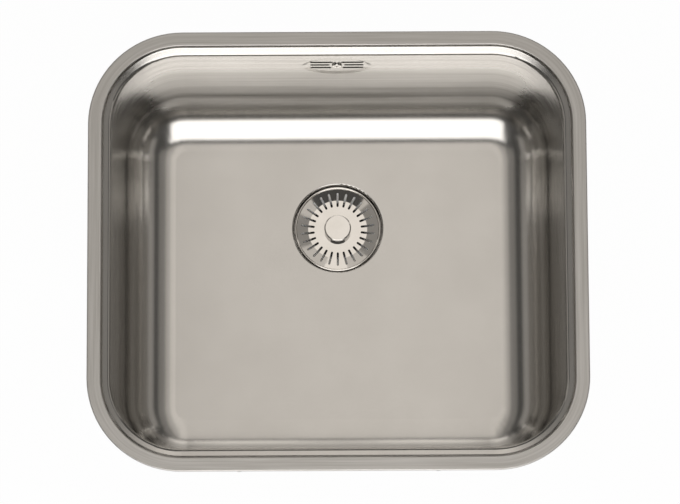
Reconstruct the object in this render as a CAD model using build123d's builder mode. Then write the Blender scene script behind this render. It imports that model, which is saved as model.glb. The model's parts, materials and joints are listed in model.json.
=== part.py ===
import os
from math import cos, radians, sin, tan

from build123d import *

# Stainless single-bowl sit-on sink, in millimetres.
# +X is right, +Y is towards the overflow at the back, +Z is up.
# The origin is the middle of the rim on the worktop, which is the underside of the rim seal.

# Rim and bowl, pressed from one sheet
rim_length = 440.0
rim_width = 393.0
rim_corner_radius = 83.0
sheet = 0.8
lip_gap = 0.3
lip_radius = 1.2
flange_width = 12.0
crest_radius = 1.2
step_run = 1.9
step_drop = 2.8
root_radius = 1.4
ledge_run = 6.6
ledge_drop = 2.2
mouth_radius = 4.0
bowl_depth = 165.0
wall_draft = 4.0
floor_radius = 43.0
floor_lap = 1.0

# Foam strip under the flange
seal_thickness = 1.5
seal_width = 6.5
seal_inset = 0.7

# Worktop cut-out that the sink drops into
cutout_gap = 1.7
cutout_margin = 1.0

# Bitumen pad under the floor
pad_length = 250.0
pad_width = 214.0
pad_corner_radius = 18.0
pad_thickness = 2.5
pad_hole_gap = 2.0

# Round recess that holds the waste
drain_y = 52.0
recess_radius = 40.5
recess_depth = 7.2
recess_lip_radius = 1.5
recess_root_radius = 0.6
recess_apron = 6.0
hole_gap = 0.6

# Moulded waste cup, clamped on the recess by the centre screw
cup_wall = 1.5
cup_radius = 36.8
cup_depth = 7.0
cup_flange_gap = 1.6
cup_mouth_radius = 2.0
cup_root_radius = 1.0
port_radius = 22.5
port_seat = 2.7
port_drop = 5.0
bar_width = 5.0
bar_thickness = 1.6
bar_count = 4
bar_angle = 45.0
hub_radius = 7.5
gasket_thickness = 1.0
gasket_inset = 0.3

# Moulded waste body below the floor
body_gasket_thickness = 1.5
body_radius = 38.0
body_wall = 2.5
body_flange_radius = 47.0
body_flange_thickness = 3.0
body_depth = 66.0
body_cone_drop = 14.0
outlet_radius = 23.9
outlet_wall = 4.0
outlet_length = 24.0
bridge_width = 5.0
bridge_height = 8.0
bridge_count = 3
bridge_drop = 46.0
insert_radius = 4.0
insert_length = 12.0
insert_wall = 2.2

# M6 centre screw
screw_radius = 3.0
screw_head_radius = 5.0
screw_head_height = 4.0
screw_socket_radius = 2.5
screw_tail = 4.0
thread_gap = 0.05

# Strainer basket
basket_radius = 39.5
basket_sheet = 0.7
basket_bead = 1.1
basket_rest_gap = 0.06
basket_bottom_radius = 27.0
basket_dish = 2.3
basket_heel_radius = 2.4
slot_count = 26
slot_width = 2.0
slot_inner_radius = 21.2
slot_outer_radius = 34.0

# Knob, stem, plug and detent clip of the basket
knob_radius = 12.2
knob_height = 8.5
knob_edge_radius = 1.2
stud_radius = 3.0
stud_length = 5.0
stud_relief = 0.8
stem_radius = 8.0
stem_wall = 1.9
stem_flange_radius = 10.5
stem_flange_thickness = 2.0
stem_gap = 0.4
plug_radius = 24.9
plug_thickness = 3.0
plug_nose_gap = 0.7
plug_nose_drop = 1.2
plug_gap = 0.4
clip_height = 2.5
clip_opening = 50.0
running_gap = 0.05

# Overflow: an oval seat pressed into the back wall, its slots and its fixing screw
overflow_drop = 37.0
overflow_seat_half_length = 31.0
overflow_seat_half_height = 22.5
overflow_seat_depth = 1.2
overflow_seat_slope = 4.0
overflow_slot_height = 4.0
overflow_slot_pitch = 7.6
overflow_half_width = 24.0
overflow_slot_starts = (4.8, 6.2, 3.4)
overflow_screw_radius = 2.4
overflow_head_radius = 4.4
overflow_head_height = 1.6
overflow_screw_length = 8.0

# Collector behind the overflow slots
collector_length = 76.0
collector_top = 6.0
collector_bottom = 66.0
collector_wall = 1.8
collector_gasket = 1.0
collector_gasket_width = 4.0
collector_boss_wall = 2.0
block_length = 32.0
block_top = 50.0
block_bottom = 62.0
duct_width = 24.0

# Overflow pipe with a compression nut at each end
pipe_radius = 11.0
pipe_wall = 1.6
pipe_bend = 38.0
pipe_grip = 15.0
pipe_play = 0.2
socket_wall = 3.8
socket_length = 20.0
nut_wall = 3.6
nut_length = 16.0
nut_lip = 2.5
nut_rib_count = 12
nut_rib_depth = 1.0
nut_rib_width = 3.0
seal_ring_thickness = 2.5
inlet_reach = 24.0
inlet_drop = 50.0
pipe_wall_gap = 1.0

# Worktop clamps: bracket, M5 screw, swinging claw and retaining washer
clamp_x = 88.0
clamp_y = 0.0
clamp_screw_radius = 2.5
clamp_screw_length = 45.0
clamp_head_radius = 4.5
clamp_head_height = 3.5
clamp_socket_radius = 1.9
clamp_screw_end = 1.0
bracket_top = 9.0
bracket_bottom = 27.0
bracket_width = 20.0
bracket_sheet = 1.5
ear_thickness = 3.0
claw_width = 8.0
claw_sheet = 2.0
claw_reach = 36.0
claw_rise = 22.0
claw_tooth_count = 3
claw_tooth_depth = 2.0
claw_play = 0.08
washer_radius = 4.0
washer_thickness = 1.0
stack_gap = 0.05

# Heights and places worked out from the driving sizes
rim_top = seal_thickness + sheet
floor_z = rim_top - bowl_depth
corner_x = rim_length / 2 - rim_corner_radius
corner_y = rim_width / 2 - rim_corner_radius
crest_u = rim_corner_radius - flange_width
root_u = crest_u - step_run
root_z = rim_top - step_drop
mouth_u = root_u - ledge_run
mouth_z = root_z - ledge_drop
draft_slope = tan(radians(wall_draft))
toe_u = mouth_u - (mouth_z - floor_z) * draft_slope
floor_u = toe_u - floor_radius * tan(radians((90 - wall_draft) / 2)) - floor_lap
cutout_u = crest_u + sheet + cutout_gap
fit_u = cutout_u - cutout_margin

recess_z = floor_z - recess_depth
cup_top = recess_z + gasket_thickness + cup_wall
cup_floor = cup_top - cup_depth
port_z = cup_floor - port_drop
recess_hole_radius = cup_radius + hole_gap
body_top = recess_z - sheet - body_gasket_thickness
body_cone_top = body_top - body_depth
body_cone_bottom = body_cone_top - body_cone_drop
outlet_bottom = body_cone_bottom - outlet_length
bridge_top = body_top - bridge_drop

drain_axis = Axis((0, drain_y, 0), (0, 0, 1))
drain_plane = Plane(origin=(0, drain_y, 0), x_dir=(1, 0, 0), z_dir=(0, -1, 0))


def wall_u(z):
    """Distance of the bowl's outer wall face from the rim's corner centre, at height z."""
    return mouth_u - (mouth_z - z) * draft_slope + sheet / cos(radians(wall_draft))


def drain_level(z):
    """Level plane on the waste's axis at height z."""
    return Plane(origin=(0, drain_y, z))


def side_section(x, y, angle):
    """Upright plane through (x, y): local x points outwards at this angle, local y is up."""
    a = radians(angle)
    return Plane(origin=(x, y, 0), x_dir=(cos(a), sin(a), 0), z_dir=(sin(a), -cos(a), 0))


def rim_outline(u, z):
    """Plane and sizes of the rim's outline at distance u from its corner centres."""
    return Plane.XY.offset(z), 2 * (corner_x + u), 2 * (corner_y + u), u


def finish(piece, name):
    """Label a finished piece and write it to its own file."""
    piece.part.label = name
    export_step(piece.part, f"parts/{name}.step")


os.makedirs("parts", exist_ok=True)

# Sink bowl
# The sheet's section runs from the turned-down lip, over the flange and step, down the wall to the floor.
# It is carried straight along the four sides and turned about the four corner centres.
rim_corners = (
    (corner_x, corner_y, 0, 2 * corner_y),
    (-corner_x, corner_y, 90, 2 * corner_x),
    (-corner_x, -corner_y, 180, 2 * corner_y),
    (corner_x, -corner_y, 270, 2 * corner_x),
)
section_points = (
    (rim_corner_radius, lip_gap),
    (rim_corner_radius, rim_top),
    (crest_u, rim_top),
    (root_u, root_z),
    (mouth_u, mouth_z),
    (toe_u, floor_z),
    (floor_u, floor_z),
)
section_radii = (lip_radius, crest_radius, root_radius, mouth_radius, floor_radius)
recess_points = (
    (recess_radius + recess_apron, floor_z),
    (recess_radius, floor_z),
    (recess_radius, recess_z),
    (recess_hole_radius, recess_z),
)

# The overflow's own plane lies on the inside of the back wall, with local y up the wall.
# The seat plane is the floor of the oval seat pressed into it.
overflow_z = rim_top - overflow_drop
overflow_y = corner_y + mouth_u - (mouth_z - overflow_z) * draft_slope
wall_tilt = radians(wall_draft)
overflow_plane = Plane(
    origin=(0, overflow_y, overflow_z),
    x_dir=(1, 0, 0),
    z_dir=(0, -cos(wall_tilt), sin(wall_tilt)),
)
seat_plane = overflow_plane.offset(-overflow_seat_depth)

with BuildPart() as sink_bowl:
    for x, y, angle, side_length in rim_corners:
        with BuildSketch(side_section(x, y, angle)) as sheet_section:
            with BuildLine():
                FilletPolyline(*section_points, radius=section_radii)
                offset(amount=sheet, side=Side.LEFT)
            make_face()
        extrude(amount=side_length)
        revolve(sheet_section.sketch, axis=Axis((x, y, 0), (0, 0, 1)), revolution_arc=90)
    floor_plane, floor_length, floor_width, floor_corner = rim_outline(floor_u, floor_z)
    with BuildSketch(floor_plane):
        RectangleRounded(floor_length, floor_width, floor_corner)
        with Locations((0, drain_y)):
            Circle(recess_radius + recess_apron, mode=Mode.SUBTRACT)
    extrude(amount=-sheet)
    with BuildSketch(drain_plane):
        with BuildLine():
            FilletPolyline(*recess_points, radius=(recess_lip_radius, recess_root_radius))
            offset(amount=sheet, side=Side.LEFT)
        make_face()
    revolve(axis=drain_axis)
    for face_depth, seat_mode in ((sheet, Mode.ADD), (0, Mode.SUBTRACT)):
        with BuildSketch(overflow_plane.offset(-face_depth)):
            Ellipse(overflow_seat_half_length, overflow_seat_half_height)
        with BuildSketch(seat_plane.offset(-face_depth)):
            Ellipse(
                overflow_seat_half_length - overflow_seat_slope,
                overflow_seat_half_height - overflow_seat_slope,
            )
        loft(mode=seat_mode)
    with BuildSketch(seat_plane):
        for row, slot_start in enumerate(overflow_slot_starts):
            slot_length = overflow_half_width - slot_start
            slot_middle = (overflow_half_width + slot_start) / 2
            with Locations(
                (slot_middle, (row - 1) * overflow_slot_pitch),
                (-slot_middle, (row - 1) * overflow_slot_pitch),
            ):
                SlotOverall(slot_length, overflow_slot_height)
        Circle(overflow_screw_radius + running_gap)
    extrude(amount=2 * sheet, both=True, mode=Mode.SUBTRACT)
finish(sink_bowl, "sink_bowl")

# Foam strip that the flange sits on
seal_u = rim_corner_radius - sheet - seal_inset
with BuildPart() as rim_seal:
    seal_plane, seal_length, seal_breadth, seal_corner = rim_outline(seal_u, 0)
    with BuildSketch(seal_plane):
        RectangleRounded(seal_length, seal_breadth, seal_corner)
        RectangleRounded(
            seal_length - 2 * seal_width,
            seal_breadth - 2 * seal_width,
            seal_corner - seal_width,
            mode=Mode.SUBTRACT,
        )
    extrude(amount=seal_thickness)
finish(rim_seal, "rim_seal")

# Sound-deadening pad glued under the floor, round the waste
with BuildPart() as sound_pad:
    with BuildSketch(Plane.XY.offset(floor_z - sheet)):
        RectangleRounded(pad_length, pad_width, pad_corner_radius)
        with Locations((0, drain_y)):
            Circle(body_flange_radius + pad_hole_gap, mode=Mode.SUBTRACT)
    extrude(amount=-pad_thickness)
finish(sound_pad, "sound_pad")

# Gaskets above and below the recess
with BuildPart() as cup_gasket:
    with BuildSketch(drain_level(recess_z)):
        Circle(recess_radius - recess_root_radius - gasket_inset)
        Circle(recess_hole_radius + gasket_inset, mode=Mode.SUBTRACT)
    extrude(amount=gasket_thickness)
finish(cup_gasket, "cup_gasket")

with BuildPart() as body_gasket:
    with BuildSketch(drain_level(body_top)):
        Circle(recess_radius - gasket_inset)
        Circle(body_radius, mode=Mode.SUBTRACT)
    extrude(amount=body_gasket_thickness)
finish(body_gasket, "body_gasket")

# Waste cup: flange, cone under the basket, flat seat, port, and the bars that carry the centre screw
cup_points = (
    (recess_radius - cup_flange_gap, cup_top),
    (cup_radius, cup_top),
    (port_radius + port_seat, cup_floor),
    (port_radius, cup_floor),
    (port_radius, port_z),
)
with BuildPart() as waste_cup:
    with BuildSketch(drain_plane):
        with BuildLine():
            FilletPolyline(*cup_points, radius=(cup_mouth_radius, cup_root_radius, cup_mouth_radius))
            offset(amount=cup_wall, side=Side.LEFT)
        make_face()
    revolve(axis=drain_axis)
    with BuildSketch(drain_level(port_z)):
        Circle(hub_radius)
        with PolarLocations(0, bar_count // 2, start_angle=bar_angle, angular_range=180):
            Rectangle(2 * port_radius + cup_wall, bar_width)
        Circle(screw_radius + thread_gap, mode=Mode.SUBTRACT)
    extrude(amount=bar_thickness)
finish(waste_cup, "waste_cup")

# Waste body: flange, chamber, cone and threaded outlet, with a bridge for the brass insert
inlet_z = body_top - inlet_drop
inlet_end_y = drain_y + body_radius + body_wall + inlet_reach
socket_bore = pipe_radius + pipe_play
socket_radius = socket_bore + socket_wall
outlet_bore = outlet_radius - outlet_wall
body_points = (
    (body_radius, body_top),
    (body_flange_radius, body_top),
    (body_flange_radius, body_top - body_flange_thickness),
    (body_radius + body_wall, body_top - body_flange_thickness),
    (body_radius + body_wall, body_cone_top),
    (outlet_radius, body_cone_bottom),
    (outlet_radius, outlet_bottom),
    (outlet_bore, outlet_bottom),
    (outlet_bore, body_cone_bottom + body_wall),
    (body_radius, body_cone_top + body_wall),
)
inlet_plane = Plane(origin=(0, inlet_end_y, inlet_z), x_dir=(1, 0, 0), z_dir=(0, 1, 0))
with BuildPart() as waste_body:
    with BuildSketch(drain_plane):
        with BuildLine():
            Polyline(*body_points, close=True)
        make_face()
    revolve(axis=drain_axis)
    with BuildSketch(drain_level(bridge_top)):
        Circle(insert_radius + insert_wall)
        with PolarLocations(0, bridge_count, start_angle=-90):
            with Locations((body_radius / 2, 0)):
                Rectangle(body_radius + body_wall, bridge_width)
    extrude(amount=-bridge_height)
    with BuildSketch(drain_level(bridge_top)):
        Circle(insert_radius + insert_wall)
    extrude(amount=-insert_length)
    with BuildSketch(drain_level(bridge_top)):
        Circle(insert_radius)
    extrude(amount=-insert_length, mode=Mode.SUBTRACT)
    with BuildSketch(inlet_plane):
        Circle(socket_radius)
    extrude(amount=-inlet_reach - body_wall)
    with BuildSketch(inlet_plane):
        Circle(socket_bore)
    extrude(amount=-pipe_grip, mode=Mode.SUBTRACT)
    with BuildSketch(inlet_plane):
        Circle(pipe_radius - pipe_wall)
    extrude(amount=-inlet_reach - 2 * body_wall, mode=Mode.SUBTRACT)
finish(waste_body, "waste_body")

# Brass insert in the bridge and the centre screw that pulls cup and body together
with BuildPart() as screw_insert:
    with BuildSketch(drain_level(bridge_top)):
        Circle(insert_radius)
        Circle(screw_radius + thread_gap, mode=Mode.SUBTRACT)
    extrude(amount=-insert_length)
finish(screw_insert, "screw_insert")

screw_seat = port_z + bar_thickness
with BuildPart() as waste_screw:
    with BuildSketch(drain_level(screw_seat)):
        Circle(screw_head_radius)
    extrude(amount=screw_head_height)
    fillet(waste_screw.edges().group_by(Axis.Z)[-1], screw_head_height / 4)
    with BuildSketch(drain_level(screw_seat + screw_head_height)):
        RegularPolygon(screw_socket_radius, 6)
    extrude(amount=-screw_head_height / 2, mode=Mode.SUBTRACT)
    with BuildSketch(drain_level(screw_seat)):
        Circle(screw_radius)
    extrude(amount=-(screw_seat - bridge_top + insert_length + screw_tail))
finish(waste_screw, "waste_screw")

# Strainer basket: rolled rim on the cup's flange, shallow cone and slotted bottom
bead_z = cup_top + basket_rest_gap + basket_bead
bead_u = basket_radius - basket_bead
basket_floor = bead_z - basket_dish
basket_points = (
    (bead_u, bead_z),
    (basket_bottom_radius, basket_floor),
    (stud_radius + running_gap, basket_floor),
)
with BuildPart() as strainer_basket:
    with BuildSketch(drain_plane):
        with BuildLine():
            FilletPolyline(*basket_points, radius=basket_heel_radius)
            offset(amount=basket_sheet, side=Side.LEFT)
        make_face()
        with Locations((bead_u, bead_z)):
            Circle(basket_bead)
    revolve(axis=drain_axis)
    with BuildSketch(drain_level(bead_z)):
        with PolarLocations((slot_inner_radius + slot_outer_radius) / 2, slot_count, start_angle=90):
            SlotOverall(slot_outer_radius - slot_inner_radius, slot_width)
    extrude(amount=-2 * basket_dish, mode=Mode.SUBTRACT)
finish(strainer_basket, "strainer_basket")

# Knob that stands on the basket's bottom
with BuildPart() as strainer_knob:
    with BuildSketch(drain_level(basket_floor)):
        Circle(knob_radius)
    extrude(amount=knob_height)
    fillet(strainer_knob.edges().group_by(Axis.Z)[-1], knob_edge_radius)
    with BuildSketch(drain_level(basket_floor)):
        Circle(stud_radius + thread_gap)
    extrude(amount=stud_length + stud_relief, mode=Mode.SUBTRACT)
finish(strainer_knob, "strainer_knob")

# Stem: stud into the knob, flange that holds the plug, and a hollow leg over the screw's head
stem_top = basket_floor - basket_sheet
plug_bottom = cup_floor + plug_gap
stem_bottom = screw_seat + stem_gap
stem_bore = stem_radius - stem_wall
with BuildPart() as strainer_stem:
    with BuildSketch(drain_level(stem_top)):
        Circle(stud_radius)
    extrude(amount=basket_sheet + stud_length)
    with BuildSketch(drain_level(plug_bottom)):
        Circle(stem_flange_radius)
    extrude(amount=-stem_flange_thickness)
    with BuildSketch(drain_level(stem_top)):
        Circle(stem_radius)
    extrude(amount=stem_bottom - stem_top)
    with BuildSketch(drain_level(stem_bottom)):
        Circle(stem_bore)
    extrude(amount=stem_top - stem_flange_thickness - stem_bottom, mode=Mode.SUBTRACT)
finish(strainer_stem, "strainer_stem")

# Rubber plug on the stem: a disc that closes on the cup's seat and a nose that enters the port
with BuildPart() as strainer_plug:
    with BuildSketch(drain_level(plug_bottom)):
        Circle(plug_radius)
        Circle(stem_radius + running_gap, mode=Mode.SUBTRACT)
    extrude(amount=plug_thickness)
    fillet(strainer_plug.edges().group_by(Axis.Z)[-1].sort_by(SortBy.RADIUS)[-1], plug_thickness / 3)
    with BuildSketch(drain_level(plug_bottom)):
        Circle(port_radius - plug_nose_gap)
        Circle(stem_flange_radius + running_gap, mode=Mode.SUBTRACT)
    extrude(amount=-plug_gap - plug_nose_drop)
finish(strainer_plug, "strainer_plug")

# Spring clip inside the stem, sprung round the head of the centre screw
clip_bore = screw_head_radius + running_gap
clip_z = screw_seat + (screw_head_height - clip_height) / 2
with BuildPart() as detent_clip:
    with BuildSketch(drain_level(clip_z)):
        Circle(stem_bore - running_gap)
        Circle(clip_bore, mode=Mode.SUBTRACT)
        with BuildLine():
            half_opening = clip_opening / 2
            reach = 2 * stem_radius
            Polyline(
                (0, 0),
                (reach * cos(radians(half_opening)), reach * sin(radians(half_opening))),
                (reach * cos(radians(half_opening)), -reach * sin(radians(half_opening))),
                close=True,
            )
        make_face(mode=Mode.SUBTRACT)
    extrude(amount=clip_height)
finish(detent_clip, "detent_clip")

# Overflow screw: domed head on the floor of the seat, shank into the collector's boss
with BuildPart() as overflow_screw:
    with BuildSketch(seat_plane):
        Circle(overflow_head_radius)
    extrude(amount=overflow_head_height)
    head_axis = Axis(seat_plane.origin, seat_plane.z_dir)
    fillet(overflow_screw.faces().sort_by(head_axis)[-1].edges(), overflow_head_height / 2)
    with BuildSketch(seat_plane.offset(overflow_head_height)):
        Rectangle(overflow_head_radius, overflow_head_height / 2)
        Rectangle(overflow_head_height / 2, overflow_head_radius)
    extrude(amount=-overflow_head_height / 2, mode=Mode.SUBTRACT)
    with BuildSketch(seat_plane):
        Circle(overflow_screw_radius)
    extrude(amount=-overflow_screw_length)
finish(overflow_screw, "overflow_screw")

# Overflow gasket: a frame between the wall and the collector, with a ring round the screw
gasket_centre = (overflow_z + (collector_top + collector_bottom) / 2) / cos(wall_tilt)
gasket_height = (collector_bottom - collector_top) / cos(wall_tilt)
gasket_plane = overflow_plane.offset(-sheet)
with BuildPart() as overflow_gasket:
    with BuildSketch(gasket_plane):
        with Locations((0, -gasket_centre)):
            Rectangle(collector_length, gasket_height)
            Rectangle(
                collector_length - 2 * collector_gasket_width,
                gasket_height - 2 * collector_gasket_width,
                mode=Mode.SUBTRACT,
            )
    extrude(amount=-collector_gasket)
finish(overflow_gasket, "overflow_gasket")

# Collector: a slim chamber behind the slots that fits the cut-out, and a block with the pipe's socket
collector_face = collector_gasket / cos(wall_tilt)
pipe_y = corner_y + wall_u(-block_bottom) + pipe_wall_gap + socket_radius + nut_wall
chamber_points = (
    (wall_u(-collector_top) + collector_face, -collector_top),
    (fit_u, -collector_top),
    (fit_u, -collector_bottom),
    (wall_u(-collector_bottom) + collector_face, -collector_bottom),
)
pocket_top = -collector_top - collector_wall
pocket_bottom = -collector_bottom + collector_wall
pocket_points = (
    (wall_u(pocket_top), pocket_top),
    (fit_u - collector_wall, pocket_top),
    (fit_u - collector_wall, pocket_bottom),
    (wall_u(pocket_bottom), pocket_bottom),
)
collector_section = side_section(0, corner_y, 90)
boss_radius = overflow_screw_radius + collector_boss_wall
pipe_start_z = -block_bottom - socket_length
with BuildPart() as overflow_collector:
    with BuildSketch(collector_section):
        with BuildLine():
            Polyline(*chamber_points, close=True)
        make_face()
    extrude(amount=collector_length / 2, both=True)
    with BuildSketch(Plane.XY.offset(-block_top)):
        block_back = corner_y + wall_u(-block_top) + collector_face
        with Locations((0, (block_back + pipe_y) / 2)):
            Rectangle(block_length, pipe_y - block_back)
        with Locations((0, pipe_y)):
            Circle(block_length / 2)
    extrude(amount=block_top - block_bottom)
    with BuildSketch(Plane.XY.offset(-block_bottom)):
        with Locations((0, pipe_y)):
            Circle(socket_radius)
    extrude(amount=-socket_length)
    with BuildSketch(collector_section):
        with BuildLine():
            Polyline(*pocket_points, close=True)
        make_face()
    extrude(amount=collector_length / 2 - collector_wall, both=True, mode=Mode.SUBTRACT)
    with BuildSketch(Plane.XY.offset(-block_top - collector_wall)):
        with Locations((0, (block_back + pipe_y) / 2 + collector_wall)):
            Rectangle(duct_width, pipe_y - block_back)
    extrude(amount=block_top - block_bottom + 2 * collector_wall, mode=Mode.SUBTRACT)
    with BuildSketch(Plane.XY.offset(pipe_start_z)):
        with Locations((0, pipe_y)):
            Circle(pipe_radius - pipe_wall)
    extrude(amount=socket_length + 2 * collector_wall, mode=Mode.SUBTRACT)
    with BuildSketch(Plane.XY.offset(pipe_start_z)):
        with Locations((0, pipe_y)):
            Circle(socket_bore)
    extrude(amount=pipe_grip, mode=Mode.SUBTRACT)
    with BuildSketch(seat_plane.offset(-sheet)):
        Circle(boss_radius)
    extrude(amount=wall_u(overflow_z) + overflow_seat_depth + collector_wall / 2 - fit_u)
    with BuildSketch(seat_plane.offset(-sheet)):
        Circle(overflow_screw_radius)
    extrude(amount=-overflow_screw_length, mode=Mode.SUBTRACT)
finish(overflow_collector, "overflow_collector")

# Overflow pipe: down behind the bowl, one bend, and forwards into the waste body
pipe_top = pipe_start_z + pipe_grip
pipe_front = inlet_end_y - pipe_grip
with BuildPart() as overflow_pipe:
    with BuildLine() as pipe_route:
        FilletPolyline((0, pipe_y, pipe_top), (0, pipe_y, inlet_z), (0, pipe_front, inlet_z), radius=pipe_bend)
    with BuildSketch(Plane(origin=(0, pipe_y, pipe_top), z_dir=(0, 0, -1))):
        Circle(pipe_radius)
        Circle(pipe_radius - pipe_wall, mode=Mode.SUBTRACT)
    sweep(path=pipe_route.line)
finish(overflow_pipe, "overflow_pipe")

# Compression nuts with grip ribs, and the rubber rings that they squeeze on the pipe
pipe_ends = (
    ("top", Plane(origin=(0, pipe_y, pipe_start_z), z_dir=(0, 0, -1))),
    ("bottom", Plane(origin=(0, inlet_end_y, inlet_z), x_dir=(1, 0, 0), z_dir=(0, 1, 0))),
)
nut_bore = socket_radius + thread_gap
nut_radius = nut_bore + nut_wall - nut_rib_depth
nut_start = nut_lip + seal_ring_thickness - nut_length
for end_name, end_plane in pipe_ends:
    with BuildPart() as pipe_nut:
        with BuildSketch(end_plane.offset(nut_start)):
            Circle(nut_radius)
            with PolarLocations(nut_radius, nut_rib_count):
                Rectangle(2 * nut_rib_depth, nut_rib_width)
            Circle(nut_bore, mode=Mode.SUBTRACT)
        extrude(amount=nut_length)
        with BuildSketch(end_plane.offset(seal_ring_thickness)):
            Circle(nut_radius)
            Circle(socket_bore, mode=Mode.SUBTRACT)
        extrude(amount=nut_lip)
    finish(pipe_nut, f"overflow_nut_{end_name}")
    with BuildPart() as pipe_seal:
        with BuildSketch(end_plane):
            Circle(socket_radius)
            Circle(pipe_radius, mode=Mode.SUBTRACT)
        extrude(amount=seal_ring_thickness)
    finish(pipe_seal, f"overflow_seal_{end_name}")

# Clamps
# Each one stands against the wall with its screw pointing down; the claw is parked along the wall.
screw_u = fit_u - claw_width / 2
clamps = (
    ("front_left", -clamp_x, -corner_y, 270),
    ("front_right", clamp_x, -corner_y, 270),
    ("right", corner_x, clamp_y, 0),
    ("back_right", clamp_x, corner_y, 90),
    ("back_left", -clamp_x, corner_y, 90),
    ("left", -corner_x, clamp_y, 180),
)
ear_top = -bracket_bottom + ear_thickness
screw_top = ear_top + clamp_screw_end
head_top = screw_top - clamp_screw_length
claw_bottom = head_top + stack_gap
washer_bottom = claw_bottom + claw_sheet + stack_gap
bracket_points = (
    (wall_u(-bracket_top), -bracket_top),
    (wall_u(-bracket_top) + bracket_sheet, -bracket_top),
    (wall_u(ear_top) + bracket_sheet, ear_top),
    (screw_u + claw_width / 2, ear_top),
    (screw_u + claw_width / 2, -bracket_bottom),
    (wall_u(-bracket_bottom), -bracket_bottom),
)


def clamp_level(x, y, angle, z):
    """Level plane on a clamp's screw: local x points outwards, local y along the wall."""
    a = radians(angle)
    place = (x + screw_u * cos(a), y + screw_u * sin(a), z)
    return Plane(origin=place, x_dir=(cos(a), sin(a), 0), z_dir=(0, 0, 1))


# Folded brackets, spot-welded to the wall, each with a threaded ear
with BuildPart() as clamp_brackets:
    for clamp_name, x, y, angle in clamps:
        with BuildSketch(side_section(x, y, angle)):
            with BuildLine():
                Polyline(*bracket_points, close=True)
            make_face()
        extrude(amount=bracket_width / 2, both=True)
        with BuildSketch(clamp_level(x, y, angle, -bracket_bottom)):
            Circle(clamp_screw_radius + running_gap)
        extrude(amount=ear_thickness, mode=Mode.SUBTRACT)
finish(clamp_brackets, "clamp_brackets")

for clamp_name, x, y, angle in clamps:
    # Pan-head screw that is driven from below
    with BuildPart() as clamp_screw:
        with BuildSketch(clamp_level(x, y, angle, head_top)):
            Circle(clamp_screw_radius)
        extrude(amount=clamp_screw_length)
        with BuildSketch(clamp_level(x, y, angle, head_top)):
            Circle(clamp_head_radius)
        extrude(amount=-clamp_head_height)
        fillet(clamp_screw.edges().group_by(Axis.Z)[0], clamp_head_height / 3)
        with BuildSketch(clamp_level(x, y, angle, head_top - clamp_head_height)):
            Rectangle(2 * clamp_socket_radius, clamp_socket_radius / 2)
            Rectangle(clamp_socket_radius / 2, 2 * clamp_socket_radius)
        extrude(amount=clamp_head_height / 2, mode=Mode.SUBTRACT)
    finish(clamp_screw, f"clamp_screw_{clamp_name}")

    # Washer pressed on the screw above the claw
    with BuildPart() as clamp_washer:
        with BuildSketch(clamp_level(x, y, angle, washer_bottom)):
            Circle(washer_radius)
            Circle(clamp_screw_radius + running_gap, mode=Mode.SUBTRACT)
        extrude(amount=washer_thickness)
    finish(clamp_washer, f"clamp_washer_{clamp_name}")

    # Claw: an arm on the screw with an upturned, toothed end
    claw_plane = clamp_level(x, y, angle, claw_bottom)
    with BuildPart() as clamp_claw:
        with BuildSketch(claw_plane):
            with Locations((0, claw_reach / 2)):
                Rectangle(claw_width, claw_reach)
            Circle(claw_width / 2)
            Circle(clamp_screw_radius + claw_play, mode=Mode.SUBTRACT)
        extrude(amount=claw_sheet)
        with BuildSketch(claw_plane):
            with Locations((0, claw_reach - claw_sheet / 2)):
                Rectangle(claw_width, claw_sheet)
        extrude(amount=claw_rise)
        tooth_width = claw_width / claw_tooth_count
        tooth_plane = Plane(
            origin=claw_plane.origin + claw_plane.y_dir * claw_reach + Vector(0, 0, claw_rise),
            x_dir=claw_plane.x_dir,
            z_dir=-claw_plane.y_dir,
        )
        with BuildSketch(tooth_plane):
            for tooth in range(claw_tooth_count):
                notch = (tooth + 0.5) * tooth_width - claw_width / 2
                with BuildLine():
                    Polyline(
                        (notch - tooth_width / 2, 0),
                        (notch, -claw_tooth_depth),
                        (notch + tooth_width / 2, 0),
                        close=True,
                    )
                make_face()
        extrude(amount=claw_sheet, mode=Mode.SUBTRACT)
    finish(clamp_claw, f"clamp_claw_{clamp_name}")
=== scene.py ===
# %% [markdown]
# # A sit-on kitchen sink in satin stainless steel
#
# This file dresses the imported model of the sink: it keeps the solids where they are, gives every surface a
# finish worked out from the real material, adds the details that the solids leave plain, and sets up the
# camera and the light. Everything is in metres, in the frame of the model: +X right, +Y back, +Z up.

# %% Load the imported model
import bmesh
import bpy
import json
import math
from mathutils import Matrix, Vector


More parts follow.
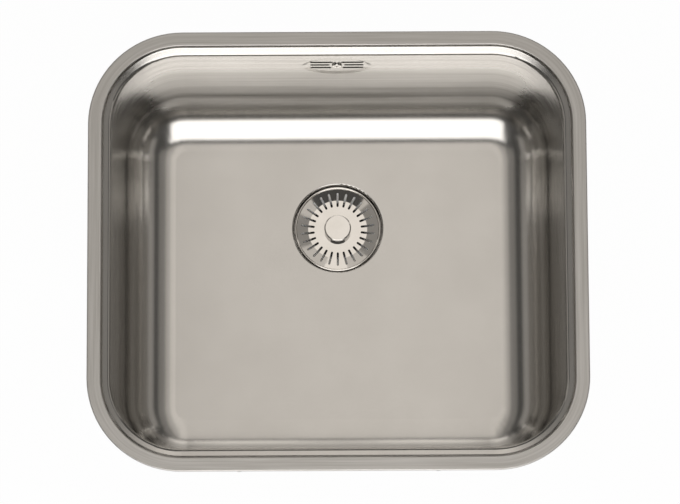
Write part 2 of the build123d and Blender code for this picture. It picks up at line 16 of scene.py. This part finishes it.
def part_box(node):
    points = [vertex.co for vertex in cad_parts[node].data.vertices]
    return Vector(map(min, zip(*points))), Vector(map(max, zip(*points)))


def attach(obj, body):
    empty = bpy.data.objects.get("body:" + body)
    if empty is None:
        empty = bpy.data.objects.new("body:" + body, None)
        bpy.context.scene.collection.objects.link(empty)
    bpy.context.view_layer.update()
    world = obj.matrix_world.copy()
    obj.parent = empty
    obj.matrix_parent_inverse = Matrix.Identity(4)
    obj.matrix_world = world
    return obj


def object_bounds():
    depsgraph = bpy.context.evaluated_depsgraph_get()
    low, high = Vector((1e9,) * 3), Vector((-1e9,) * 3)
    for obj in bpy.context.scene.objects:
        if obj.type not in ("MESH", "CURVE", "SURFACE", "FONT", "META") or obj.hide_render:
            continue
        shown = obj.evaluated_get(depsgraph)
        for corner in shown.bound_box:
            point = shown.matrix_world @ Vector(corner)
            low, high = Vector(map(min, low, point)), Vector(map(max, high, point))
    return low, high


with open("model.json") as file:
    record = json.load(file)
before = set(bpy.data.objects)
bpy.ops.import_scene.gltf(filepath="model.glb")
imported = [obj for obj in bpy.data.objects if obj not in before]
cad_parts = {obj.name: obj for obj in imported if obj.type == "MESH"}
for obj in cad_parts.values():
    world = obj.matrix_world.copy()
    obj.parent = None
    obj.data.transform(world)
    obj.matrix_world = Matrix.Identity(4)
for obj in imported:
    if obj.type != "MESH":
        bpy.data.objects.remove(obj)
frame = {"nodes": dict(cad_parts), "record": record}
cad_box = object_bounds()
nodes = frame["nodes"]
scene = bpy.context.scene
print("nodes", len(nodes), "box", [[round(v, 4) for v in corner] for corner in cad_box])

# %% [markdown]
# ## Three small helpers
#
# Colours are written as sRGB hex, the way a colour picker gives them, but shaders want linear light, so one
# function turns one into the other. Materials are node trees, and one function adds any node with its
# settings and its links. Pattern sizes come from real sizes in millimetres, so one function turns the
# spacing of a pattern into the number of repeats in a metre, which is what a texture's scale means here.

# %% Colour, node and pattern helpers
def linear(colour):
    """An sRGB hex colour as linear red, green, blue and alpha."""
    values = [int(colour[i:i + 2], 16) / 255 for i in (1, 3, 5)]
    return tuple(v / 12.92 if v <= 0.04045 else ((v + 0.055) / 1.055) ** 2.4 for v in values) + (1,)


def add(tree, kind, inputs=None, **settings):
    """Adds a node. Inputs that are sockets are linked, other inputs are set as values."""
    made = tree.nodes.new(kind)
    for name, value in settings.items():
        setattr(made, name, value)
    for name, value in (inputs or {}).items():
        if isinstance(value, bpy.types.NodeSocket):
            tree.links.new(value, made.inputs[name])
        else:
            made.inputs[name].default_value = value
    return made


def every(millimetres):
    """Repeats in a metre of a pattern with this spacing."""
    return 1000 / millimetres


print("a colour", [round(v, 3) for v in linear("#CCC8C3")], "a 2 mm grain", every(2))

# %% [markdown]
# ## One start for every material
#
# Each material begins as one Principled shader with its colour, metallic and roughness. The patterns that
# follow only push these a little: a noise spreads the roughness over a range, a noise or a wave gives the
# bump its height, and a second noise drifts the colour. A metal keeps the default IOR.

# %% Start of a material
def start(name, colour, roughness, metallic=0.0, ior=None):
    """A material with one Principled shader, given back with its tree, the shader and its coordinates."""
    made = bpy.data.materials.new(name)
    made.use_nodes = True
    tree = made.node_tree
    shader = tree.nodes["Principled BSDF"]
    shader.inputs["Base Color"].default_value = linear(colour)
    shader.inputs["Roughness"].default_value = roughness
    shader.inputs["Metallic"].default_value = metallic
    if ior:
        shader.inputs["IOR"].default_value = ior
    place = add(tree, "ShaderNodeTexCoord")
    return made, tree, shader, place


def grain(tree, place, scale, detail=3.0):
    """A noise over the object's own coordinates, stretched by a scale for each axis."""
    spread = add(tree, "ShaderNodeVectorMath", {0: place.outputs["Object"], 1: scale}, operation="MULTIPLY")
    return add(tree, "ShaderNodeTexNoise", {"Vector": spread.outputs[0], "Scale": 1.0, "Detail": detail})


def spread_roughness(tree, shader, value, low, high):
    """Lets a pattern between 0 and 1 move the roughness between two values."""
    span = add(tree, "ShaderNodeMapRange", {"Value": value, "From Min": 0.3, "From Max": 0.7,
                                            "To Min": low, "To Max": high})
    tree.links.new(span.outputs[0], shader.inputs["Roughness"])
    return span


def drift_colour(tree, shader, value, colour_a, colour_b):
    """Lets a pattern move the colour between two close tones."""
    ramp = add(tree, "ShaderNodeValToRGB", {"Fac": value})
    ramp.color_ramp.elements[0].position = 0.3
    ramp.color_ramp.elements[0].color = linear(colour_a)
    ramp.color_ramp.elements[1].position = 0.7
    ramp.color_ramp.elements[1].color = linear(colour_b)
    tree.links.new(ramp.outputs[0], shader.inputs["Base Color"])


def raise_bump(tree, shader, value, depth_mm):
    """Gives the surface a pattern's relief, with this much depth from low to high."""
    bump = add(tree, "ShaderNodeBump", {"Height": value, "Distance": depth_mm / 1000, "Strength": 1.0})
    tree.links.new(bump.outputs[0], shader.inputs["Normal"])


print("helpers ready")

# %% [markdown]
# ## The bowl: cold-rolled stainless steel, deep-drawn, then satin-finished
#
# The sheet is taken to be 18/10 stainless, 0.8 mm thick. The picture shows level lines round the walls and a
# grain along the flange, as a grinding belt leaves them, and an even satin on the floor. So one steel needs
# three patterns: long streaks along the flange, level streaks round the walls, and a fine cloud on the
# floor. Real grinding lines are too fine for this picture, so the streaks stand for bundles of them, 2 to
# 6 mm wide. They move the roughness and, a little, the tone. The masks come from height and from the
# surface's own direction, never the camera.
#
# The roughness values are fitted to the picture's tones. So is the duller patch low on the back wall, which
# the picture doesn't show as such: it only brings that wall nearer to its tone.

# %% Bowl steel
def satin_drawn_stainless():
    made, tree, shader, place = start("stainless_304_satin_drawn", "#CAC8C5", 0.22, metallic=1.0)
    axes = add(tree, "ShaderNodeSeparateXYZ", {0: place.outputs["Object"]})
    facing = add(tree, "ShaderNodeSeparateXYZ", {0: place.outputs["Normal"]})
    flange = add(tree, "ShaderNodeMapRange", {"Value": axes.outputs["Z"], "From Min": flange_from,
                                              "From Max": flange_to, "To Min": 0.0, "To Max": 1.0})
    level = add(tree, "ShaderNodeMath", {0: facing.outputs["Z"]}, operation="ABSOLUTE")
    wall = add(tree, "ShaderNodeMapRange", {"Value": level.outputs[0], "From Min": wall_from,
                                            "From Max": wall_to, "To Min": 0.0, "To Max": 1.0})
    # the flange's grain follows the rim: it changes with the distance from a core the corners turn round
    folded = add(tree, "ShaderNodeVectorMath", {0: place.outputs["Object"]}, operation="ABSOLUTE")
    past = add(tree, "ShaderNodeVectorMath", {0: folded.outputs[0], 1: rim_core}, operation="SUBTRACT")
    outward = add(tree, "ShaderNodeVectorMath", {0: past.outputs[0], 1: (0, 0, 0)}, operation="MAXIMUM")
    reach = add(tree, "ShaderNodeVectorMath", {0: outward.outputs[0]}, operation="LENGTH")
    rim_place = add(tree, "ShaderNodeCombineXYZ", {"X": reach.outputs["Value"], "Y": axes.outputs["X"],
                                                   "Z": axes.outputs["Y"]})
    stretched = add(tree, "ShaderNodeVectorMath", {0: rim_place.outputs[0],
                                                   1: (every(rim_streak), every(rim_run), every(rim_run))},
                    operation="MULTIPLY")
    streak_rim = add(tree, "ShaderNodeTexNoise", {"Vector": stretched.outputs[0], "Scale": 1.0,
                                                  "Detail": 3.0})
    streak_wall = grain(tree, place, (every(wall_run), every(wall_run), every(wall_streak)), 3.0)
    satin = grain(tree, place, (every(satin_spot),) * 3, 2.0)
    inside = add(tree, "ShaderNodeMix", {0: wall.outputs[0], 2: satin.outputs["Fac"],
                                         3: streak_wall.outputs["Fac"]})
    pattern = add(tree, "ShaderNodeMix", {0: flange.outputs[0], 2: inside.outputs[0],
                                          3: streak_rim.outputs["Fac"]})
    swing = add(tree, "ShaderNodeMath", {0: pattern.outputs[0], 1: 0.5}, operation="SUBTRACT")
    wall_amount = add(tree, "ShaderNodeMix", {0: wall.outputs[0], 2: satin_swing, 3: wall_swing})
    amount = add(tree, "ShaderNodeMix", {0: flange.outputs[0], 2: wall_amount.outputs[0], 3: brushed_swing})
    shift = add(tree, "ShaderNodeMath", {0: swing.outputs[0], 1: amount.outputs[0]}, operation="MULTIPLY")
    base = add(tree, "ShaderNodeMix", {0: flange.outputs[0], 2: satin_roughness, 3: brushed_roughness})
    total = add(tree, "ShaderNodeMath", {0: base.outputs[0], 1: shift.outputs[0]}, operation="ADD")
    # the duller patch low on the back wall, fitted to the picture
    deep = add(tree, "ShaderNodeMapRange", {"Value": axes.outputs["Z"], "From Min": patch_top,
                                            "From Max": patch_full, "To Min": 0.0, "To Max": 1.0})
    back = add(tree, "ShaderNodeMapRange", {"Value": facing.outputs["Y"], "From Min": -0.75,
                                            "From Max": -0.95, "To Min": 0.0, "To Max": back_dulling})
    dull = add(tree, "ShaderNodeMath", {0: deep.outputs[0], 1: back.outputs[0], 2: total.outputs[0]},
               operation="MULTIPLY_ADD")
    tree.links.new(dull.outputs[0], shader.inputs["Roughness"])
    raise_bump(tree, shader, pattern.outputs[0], streak_relief)
    cloud = grain(tree, place, (every(cloud_spot),) * 3, 2.0)
    calm = add(tree, "ShaderNodeMapRange", {"Value": cloud.outputs["Fac"], "To Min": 0.4, "To Max": 0.6})
    brushed = add(tree, "ShaderNodeMath", {0: flange.outputs[0], 1: wall.outputs[0]}, operation="MAXIMUM")
    tone = add(tree, "ShaderNodeMix", {0: brushed.outputs[0], 2: calm.outputs[0], 3: pattern.outputs[0]})
    drift_colour(tree, shader, tone.outputs[0], "#BDBBB7", "#D7D5D2")
    return made


# metres: where the flange's mask and the duller patch begin and are full, and the rim's corner
flange_from, flange_to = 0.0012, 0.0020
patch_top, patch_full = -0.035, -0.060
rim_corner = 0.083
rim_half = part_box("sink_bowl")[1]
rim_core = (rim_half[0] - rim_corner, rim_half[1] - rim_corner, 1.0)
# millimetres: how wide and how long the streaks are, the floor's spots, the slow clouds and the relief
rim_streak, rim_run = 1.8, 90
wall_streak, wall_run = 6.0, 240
satin_spot, cloud_spot, streak_relief = 1.3, 60, 0.010
# how steep a surface is where the wall's mask begins and is full: the upward part of its direction
wall_from, wall_to = 0.9, 0.3
satin_roughness, satin_swing, wall_swing = 0.20, 0.10, 0.22
brushed_roughness, brushed_swing = 0.44, 0.22
back_dulling = 0.20
bowl_steel = satin_drawn_stainless()
print(bowl_steel.name)

# %% [markdown]
# ## Bright steel: strainer, screws and spring
#
# The basket and its knob are thin stainless pressings that are tumbled and buffed bright, so they mirror the
# studio with only a breath of haze. A faint polish pattern, drawn 1.5 mm wide, keeps the mirror from looking
# like chrome on glass. The spring clip in the stem is tempered steel, greyer and a little duller.

# %% Bright steel
def bright_stainless(name, colour_a, colour_b, low, high):
    made, tree, shader, place = start(name, colour_a, low, metallic=1.0)
    polish = grain(tree, place, (every(1.5),) * 3, 3.0)
    spread_roughness(tree, shader, polish.outputs["Fac"], low, high)
    cloud = grain(tree, place, (every(12),) * 3, 2.0)
    drift_colour(tree, shader, cloud.outputs["Fac"], colour_a, colour_b)
    raise_bump(tree, shader, polish.outputs["Fac"], 0.002)
    return made


buffed_steel = bright_stainless("stainless_304_buffed", "#E2DFDA", "#E7E4E0", 0.035, 0.07)
spring_steel = bright_stainless("spring_steel_tempered", "#9A9894", "#A8A6A2", 0.20, 0.30)
print(buffed_steel.name, spring_steel.name)

# %% [markdown]
# ## Zinc-plated steel: brackets, claws, washers and clamp screws
#
# The clamps are stamped mild steel with a few micrometres of electroplated zinc under a clear passivate.
# To the eye that is a cool grey metal, duller than stainless, with a faint yellow and blue drift where the
# passivate is thicker. The drift is a noise a few millimetres wide between two close greys.

# %% Zinc-plated steel
def zinc_plated(name, low, high):
    made, tree, shader, place = start(name, "#B3B5B3", low, metallic=1.0)
    passivate = grain(tree, place, (every(5),) * 3, 3.0)
    drift_colour(tree, shader, passivate.outputs["Fac"], "#BAB8AE", "#ABB0B6")
    crystal = grain(tree, place, (every(0.8),) * 3, 4.0)
    spread_roughness(tree, shader, crystal.outputs["Fac"], low, high)
    raise_bump(tree, shader, crystal.outputs["Fac"], 0.012)
    return made


zinc_stamped = zinc_plated("mild_steel_zinc_plated_stamped", 0.30, 0.44)
zinc_turned = zinc_plated("mild_steel_zinc_plated_rolled_thread", 0.24, 0.36)
print(zinc_stamped.name, zinc_turned.name)

# %% [markdown]
# ## Moulded polypropylene: waste body, collector, pipe and nuts
#
# Waste fittings are injection-moulded polypropylene, an off-white plastic with IOR about 1.49. The mould is
# finely spark-eroded, so the skin is a soft matte with an even grain of about 0.3 mm, drawn 0.8 mm here,
# and it lets a little light in, which shows as a slightly warmer, cloudier tone. The pipe is extruded, so
# it is smoother, and the nuts are a touch greyer. The cup under the basket is a whiter plastic, which shows
# through the strainer's slots.

# %% Moulded plastic
def polypropylene(name, colour_a, colour_b, low, high, relief):
    made, tree, shader, place = start(name, colour_a, low, ior=1.49)
    skin = grain(tree, place, (every(0.8),) * 3, 2.0)
    spread_roughness(tree, shader, skin.outputs["Fac"], low, high)
    cloud = grain(tree, place, (every(35),) * 3, 2.0)
    drift_colour(tree, shader, cloud.outputs["Fac"], colour_a, colour_b)
    raise_bump(tree, shader, skin.outputs["Fac"], relief)
    shader.inputs["Subsurface Weight"].default_value = 0.08
    shader.inputs["Subsurface Radius"].default_value = (0.002, 0.0018, 0.0015)
    return made


moulded_body = polypropylene("polypropylene_moulded_body", "#DEDDD7", "#E6E5E0", 0.36, 0.48, 0.05)
extruded_pipe = polypropylene("polypropylene_extruded_pipe", "#DAD9D4", "#E1E0DC", 0.26, 0.34, 0.015)
moulded_nut = polypropylene("polypropylene_moulded_nut", "#CFCFCB", "#D8D8D4", 0.32, 0.42, 0.04)
black_acetal = polypropylene("acetal_moulded_black", "#161616", "#1E1E1F", 0.34, 0.46, 0.03)
moulded_cup = polypropylene("polypropylene_moulded_white", "#F2F2F0", "#F6F6F5", 0.30, 0.40, 0.03)
print(moulded_body.name, extruded_pipe.name, moulded_nut.name, black_acetal.name, moulded_cup.name)

# %% [markdown]
# ## Soft sheets: rubber, foam and bitumen
#
# The seals are nitrile rubber, black and matte with a fine bloom. The strip under the flange is closed-cell
# polyethylene foam: its cut skin shows cells of about 0.6 mm, drawn with a Voronoi pattern. The pad under
# the floor is rolled bitumen, which damps the sound of running water: dark grey, slightly shiny, with a
# pebbled face.

# %% Rubber, foam and bitumen
def nitrile_rubber():
    made, tree, shader, place = start("nitrile_rubber_moulded", "#121212", 0.55, ior=1.52)
    bloom = grain(tree, place, (every(3),) * 3, 4.0)
    drift_colour(tree, shader, bloom.outputs["Fac"], "#0E0E0E", "#1B1B1A")
    spread_roughness(tree, shader, bloom.outputs["Fac"], 0.48, 0.66)
    raise_bump(tree, shader, bloom.outputs["Fac"], 0.03)
    return made


def closed_cell_foam():
    made, tree, shader, place = start("polyethylene_foam_closed_cell", "#2C2C2E", 0.9, ior=1.5)
    cells = add(tree, "ShaderNodeTexVoronoi", {"Vector": place.outputs["Object"], "Scale": every(0.9)})
    drift_colour(tree, shader, cells.outputs["Distance"], "#222224", "#38383A")
    raise_bump(tree, shader, cells.outputs["Distance"], 0.12)
    return made


def bitumen_sheet():
    made, tree, shader, place = start("bitumen_sheet_rolled", "#3A3A3A", 0.6, ior=1.58)
    pebbles = add(tree, "ShaderNodeTexVoronoi", {"Vector": place.outputs["Object"], "Scale": every(3.2)})
    drift_colour(tree, shader, pebbles.outputs["Distance"], "#444443", "#303031")
    spread_roughness(tree, shader, pebbles.outputs["Distance"], 0.42, 0.62)
    raise_bump(tree, shader, pebbles.outputs["Distance"], 0.25)
    return made


rubber, foam, bitumen = nitrile_rubber(), closed_cell_foam(), bitumen_sheet()
print(rubber.name, foam.name, bitumen.name)

# %% [markdown]
# ## Brass: the thread insert
#
# The insert that the centre screw pulls on is turned from brass bar, so its tool marks are rings round its
# own axis. A wave texture in rings about Z, 0.4 mm apart, gives them.

# %% Turned brass
def turned_brass():
    made, tree, shader, place = start("brass_turned", "#C9A24E", 0.22, metallic=1.0)
    centre = Vector(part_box("screw_insert")[0]).lerp(Vector(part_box("screw_insert")[1]), 0.5)
    moved = add(tree, "ShaderNodeVectorMath", {0: place.outputs["Object"], 1: tuple(centre)},
                operation="SUBTRACT")
    rings = add(tree, "ShaderNodeTexWave", {"Vector": moved.outputs[0], "Scale": every(0.4) / math.tau},
                wave_type="RINGS", rings_direction="Z")
    spread_roughness(tree, shader, rings.outputs["Fac"], 0.18, 0.30)
    tarnish = grain(tree, place, (every(4),) * 3, 3.0)
    drift_colour(tree, shader, tarnish.outputs["Fac"], "#C39A48", "#D0AB5C")
    return made


brass = turned_brass()
print(brass.name)

# %% [markdown]
# ## Every node gets its finish
#
# The record names a material slot for each node. One dictionary says which finish each slot wears, so a
# node can't be missed: the loop stops if a slot has none.

# %% Finishes to nodes
finish_of_slot = {
    "bowl_steel": bowl_steel,
    "basket_steel": buffed_steel,
    "knob_steel": buffed_steel,
    "cup_plastic": moulded_cup,
    "screw_steel": buffed_steel,
    "spring_steel": spring_steel,
    "zinc_steel": zinc_stamped,
    "zinc_screw": zinc_turned,
    "waste_plastic": moulded_body,
    "pipe_plastic": extruded_pipe,
    "nut_plastic": moulded_nut,
    "stem_plastic": black_acetal,
    "gasket_rubber": rubber,
    "seal_foam": foam,
    "bitumen": bitumen,
    "insert_brass": brass,
}
slot_of_node = {part["node"]: part["material_slot"] for part in frame["record"]["subparts"]}
for name, slot in slot_of_node.items():
    surface = nodes[name].data.materials
    surface.clear()
    surface.append(finish_of_slot[slot])
print("finished nodes", len(slot_of_node))

# %% [markdown]
# ## Threads: the waste outlet and the six clamp screws
#
# The solids carry plain cylinders where threads are. On the real parts these are helical ridges: G 1 1/2 on
# the moulded outlet, with 11 turns to the inch (2.309 mm), and M5 on the clamp screws, 0.8 mm apart. A
# thread is made here as one ridge with a flat crest that winds round the cylinder and fades out over half
# a turn at both ends, as a die or a mould leaves it. Its foot lies just under the cylinder's face, so it
# joins the solid without a gap.

# %% Threads
def thread(name, body, finish, centre, radius, pitch, depth, low, high, steps=36):
    """A helical ridge round an upright axis, from height low to height high, all in metres."""
    turns = (high - low) / pitch - 1
    count = int(turns * steps)
    profile = ((-0.15, -0.42), (1.0, -0.12), (1.0, 0.12), (-0.15, 0.42))
    points, faces = [], []
    for i in range(count + 1):
        fade = max(0.02, min(1.0, i / (steps / 2), (count - i) / (steps / 2)))
        angle = math.tau * i / steps
        middle = low + pitch * (0.5 + i / steps)
        for out, up in profile:
            r = radius + depth * (out * fade if out > 0 else out)
            x, y = centre[0] + r * math.cos(angle), centre[1] + r * math.sin(angle)
            points.append((x, y, middle + pitch * up))
    width = len(profile)
    for i in range(count):
        for k in range(width):
            a, b = i * width + k, i * width + (k + 1) % width
            faces.append((a, a + width, b + width, b))
    faces.append(tuple(range(width)))
    faces.append(tuple(count * width + k for k in reversed(range(width))))
    mesh = bpy.data.meshes.new(name)
    mesh.from_pydata(points, [], faces)
    flip = bmesh.new()
    flip.from_mesh(mesh)
    bmesh.ops.recalc_face_normals(flip, faces=flip.faces)
    flip.to_mesh(mesh)
    flip.free()
    mesh.materials.append(finish)
    piece = bpy.data.objects.new(name, mesh)
    scene.collection.objects.link(piece)
    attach(piece, body)
    return piece


outlet_low, outlet_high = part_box("waste_body")
drain = (0.0, 0.052)
outlet_radius, outlet_pitch, outlet_depth = 0.0239, 0.002309, 0.0008
outlet_thread_from, outlet_thread_to = 0.0015, 0.0225
thread("outlet_thread", "sink", moulded_body, drain, outlet_radius, outlet_pitch, outlet_depth,
       outlet_low[2] + outlet_thread_from, outlet_low[2] + outlet_thread_to, steps=72)
clamp_names = ("front_left", "front_right", "right", "back_right", "back_left", "left")
head_height, screw_radius, screw_pitch, screw_depth = 0.0035, 0.0025, 0.0008, 0.00016
thread_end_gap = 0.0006
for place in clamp_names:
    low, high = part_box(f"clamp_screw_{place}")
    middle = ((low[0] + high[0]) / 2, (low[1] + high[1]) / 2)
    thread(f"screw_thread_{place}", f"screw_{place}", zinc_turned, middle, screw_radius, screw_pitch,
           screw_depth, low[2] + head_height + screw_pitch, high[2] - thread_end_gap, steps=20)
print("threads", 1 + len(clamp_names), "outlet bottom", round(outlet_low[2], 4))

# %% [markdown]
# ## Camera: almost straight down, a little from the front
#
# The strainer's circles are a few percent flatter than wide and the floor sits low in the rim, so the
# camera looks 11.2 degrees off straight down, from the front. A long lens from 4 m keeps the rim's
# sides nearly parallel, as they are in the picture. The camera also rolls a little about its own line of
# sight, because the rim stands about 0.3 degrees off level there.

# %% Camera
view_tilt = math.radians(11.2)
view_roll = math.radians(-0.29)
view_distance = 4.0
pixels_per_mm = 1.139
picture_width = 680
target = Vector((0.0020, -0.0023, 0.0))
lens = bpy.data.cameras.new("camera")
lens.sensor_width = 36
lens.lens = pixels_per_mm * view_distance * 1000 / picture_width * lens.sensor_width
lens.clip_end = 100
camera = bpy.data.objects.new("camera", lens)
scene.collection.objects.link(camera)
turned = Matrix.Rotation(view_tilt, 4, "X") @ Matrix.Rotation(view_roll, 4, "Z")
away = Vector((0, -math.sin(view_tilt), math.cos(view_tilt)))
camera.matrix_world = Matrix.Translation(target + away * view_distance) @ turned
scene.camera = camera
print("lens", round(lens.lens, 1), "mm at", [round(v, 3) for v in camera.location])

# %% [markdown]
# ## Floor: white paper
#
# The sink is shown on plain white, without a shadow. The floor is matte white paper, but to the camera and
# to mirrors it is almost all glow, so that it reads as white instead of the grey that soft light would
# leave. Only 2 percent of the sink's shadow shows on it.

# %% Floor
floor_half = 6.0
floor_z = cad_box[0][2]
paper = bpy.data.meshes.new("floor")
corners = [(-floor_half, -floor_half), (floor_half, -floor_half), (floor_half, floor_half),
           (-floor_half, floor_half)]
paper.from_pydata([(x, y, floor_z) for x, y in corners], [], [(0, 1, 2, 3)])
floor = bpy.data.objects.new("floor", paper)
scene.collection.objects.link(floor)


def seen_directly(tree, share):
    """A factor that is this share for camera, mirror and glass rays, and 0 for all others."""
    path = add(tree, "ShaderNodeLightPath")
    mirror = add(tree, "ShaderNodeMath", {0: path.outputs["Is Camera Ray"],
                                          1: path.outputs["Is Glossy Ray"]}, operation="MAXIMUM")
    glass = add(tree, "ShaderNodeMath", {0: mirror.outputs[0], 1: path.outputs["Is Transmission Ray"]},
                operation="MAXIMUM")
    return add(tree, "ShaderNodeMath", {0: glass.outputs[0], 1: share}, operation="MULTIPLY").outputs[0]


glow_share = 0.98
floor_paper = bpy.data.materials.new("paper_matte_white")
floor_paper.use_nodes = True
tree = floor_paper.node_tree
tree.nodes.clear()
matte = add(tree, "ShaderNodeBsdfDiffuse", {"Color": linear("#F6F6F6")})
glow = add(tree, "ShaderNodeEmission", {"Color": (1, 1, 1, 1), "Strength": 1.0})
both = add(tree, "ShaderNodeMixShader", {0: seen_directly(tree, glow_share), 1: matte.outputs[0],
                                         2: glow.outputs[0]})
add(tree, "ShaderNodeOutputMaterial", {"Surface": both.outputs[0]})
paper.materials.append(floor_paper)
print("floor at", round(floor_z, 4))

# %% [markdown]
# ## Light: panels overhead, one in front and two dim ones at the sides
#
# Steel shows its surroundings, so the light is what draws this sink. Its level faces mirror a direction
# 11 degrees to the back: warm panels hang there, and give the floor its even tone. There are three, one
# above the other and each wider than the last, so that their light falls off in steps to the sides. The
# rounding at the back of the bowl turns that direction over to the front, where a brighter panel leans over
# the sink: it makes the white band along the rounding, and the narrow dark line under it is the gap between
# the panels. The side panels are dim, which keeps the side walls dark. All of these sizes, places and
# strengths are fitted to the picture.

# %% Lamps and studio
def panel(name, centre, aim, width, depth, radiance, colour):
    """A soft panel that shines from its centre towards a point."""
    light = bpy.data.lights.new(name, "AREA")
    light.shape = "RECTANGLE"
    light.size, light.size_y = width, depth
    light.energy = radiance * math.pi * width * depth
    light.color = colour
    lamp = bpy.data.objects.new(name, light)
    lamp.location = centre
    lamp.rotation_euler = (Vector(aim) - Vector(centre)).to_track_quat("-Z", "Y").to_euler()
    lamp.visible_camera = False
    scene.collection.objects.link(lamp)
    return lamp


warm = (1.0, 0.945, 0.88)
overhead_y = (-0.23, 5.3)
overhead_middle = sum(overhead_y) / 2
overhead_depth = overhead_y[1] - overhead_y[0]
for number, (x, width, radiance) in enumerate(((0.06, 0.76, 0.36), (0.10, 2.1, 0.32), (0.15, 4.8, 0.20))):
    height = 3.0 + 0.02 * number
    panel(f"overhead_{number}", (x, overhead_middle, height), (x, overhead_middle, 0.0), width,
          overhead_depth, radiance, warm)
panel("front", (0.0, -1.243, 1.159), (0.0, 0.0, 0.0), 1.45, 2.21, 2.1, (1.0, 0.975, 0.95))
for side in (-1, 1):
    panel(f"side_{side}", (side * 2.4, 0.4, 0.9), (0.0, 0.0, 0.0), 3.2, 1.5, 0.30, warm)

world = bpy.data.worlds.new("studio")
scene.world = world
world.use_nodes = True
tree = world.node_tree
tree.nodes.clear()
dim = add(tree, "ShaderNodeBackground", {"Color": (0.07, 0.068, 0.065, 1), "Strength": 1.0})
white = add(tree, "ShaderNodeBackground", {"Color": (1, 1, 1, 1), "Strength": 1.0})
path = add(tree, "ShaderNodeLightPath")
both = add(tree, "ShaderNodeMixShader", {0: path.outputs["Is Camera Ray"], 1: dim.outputs[0],
                                         2: white.outputs[0]})
add(tree, "ShaderNodeOutputWorld", {"Surface": both.outputs[0]})
scene.view_settings.view_transform = "Standard"
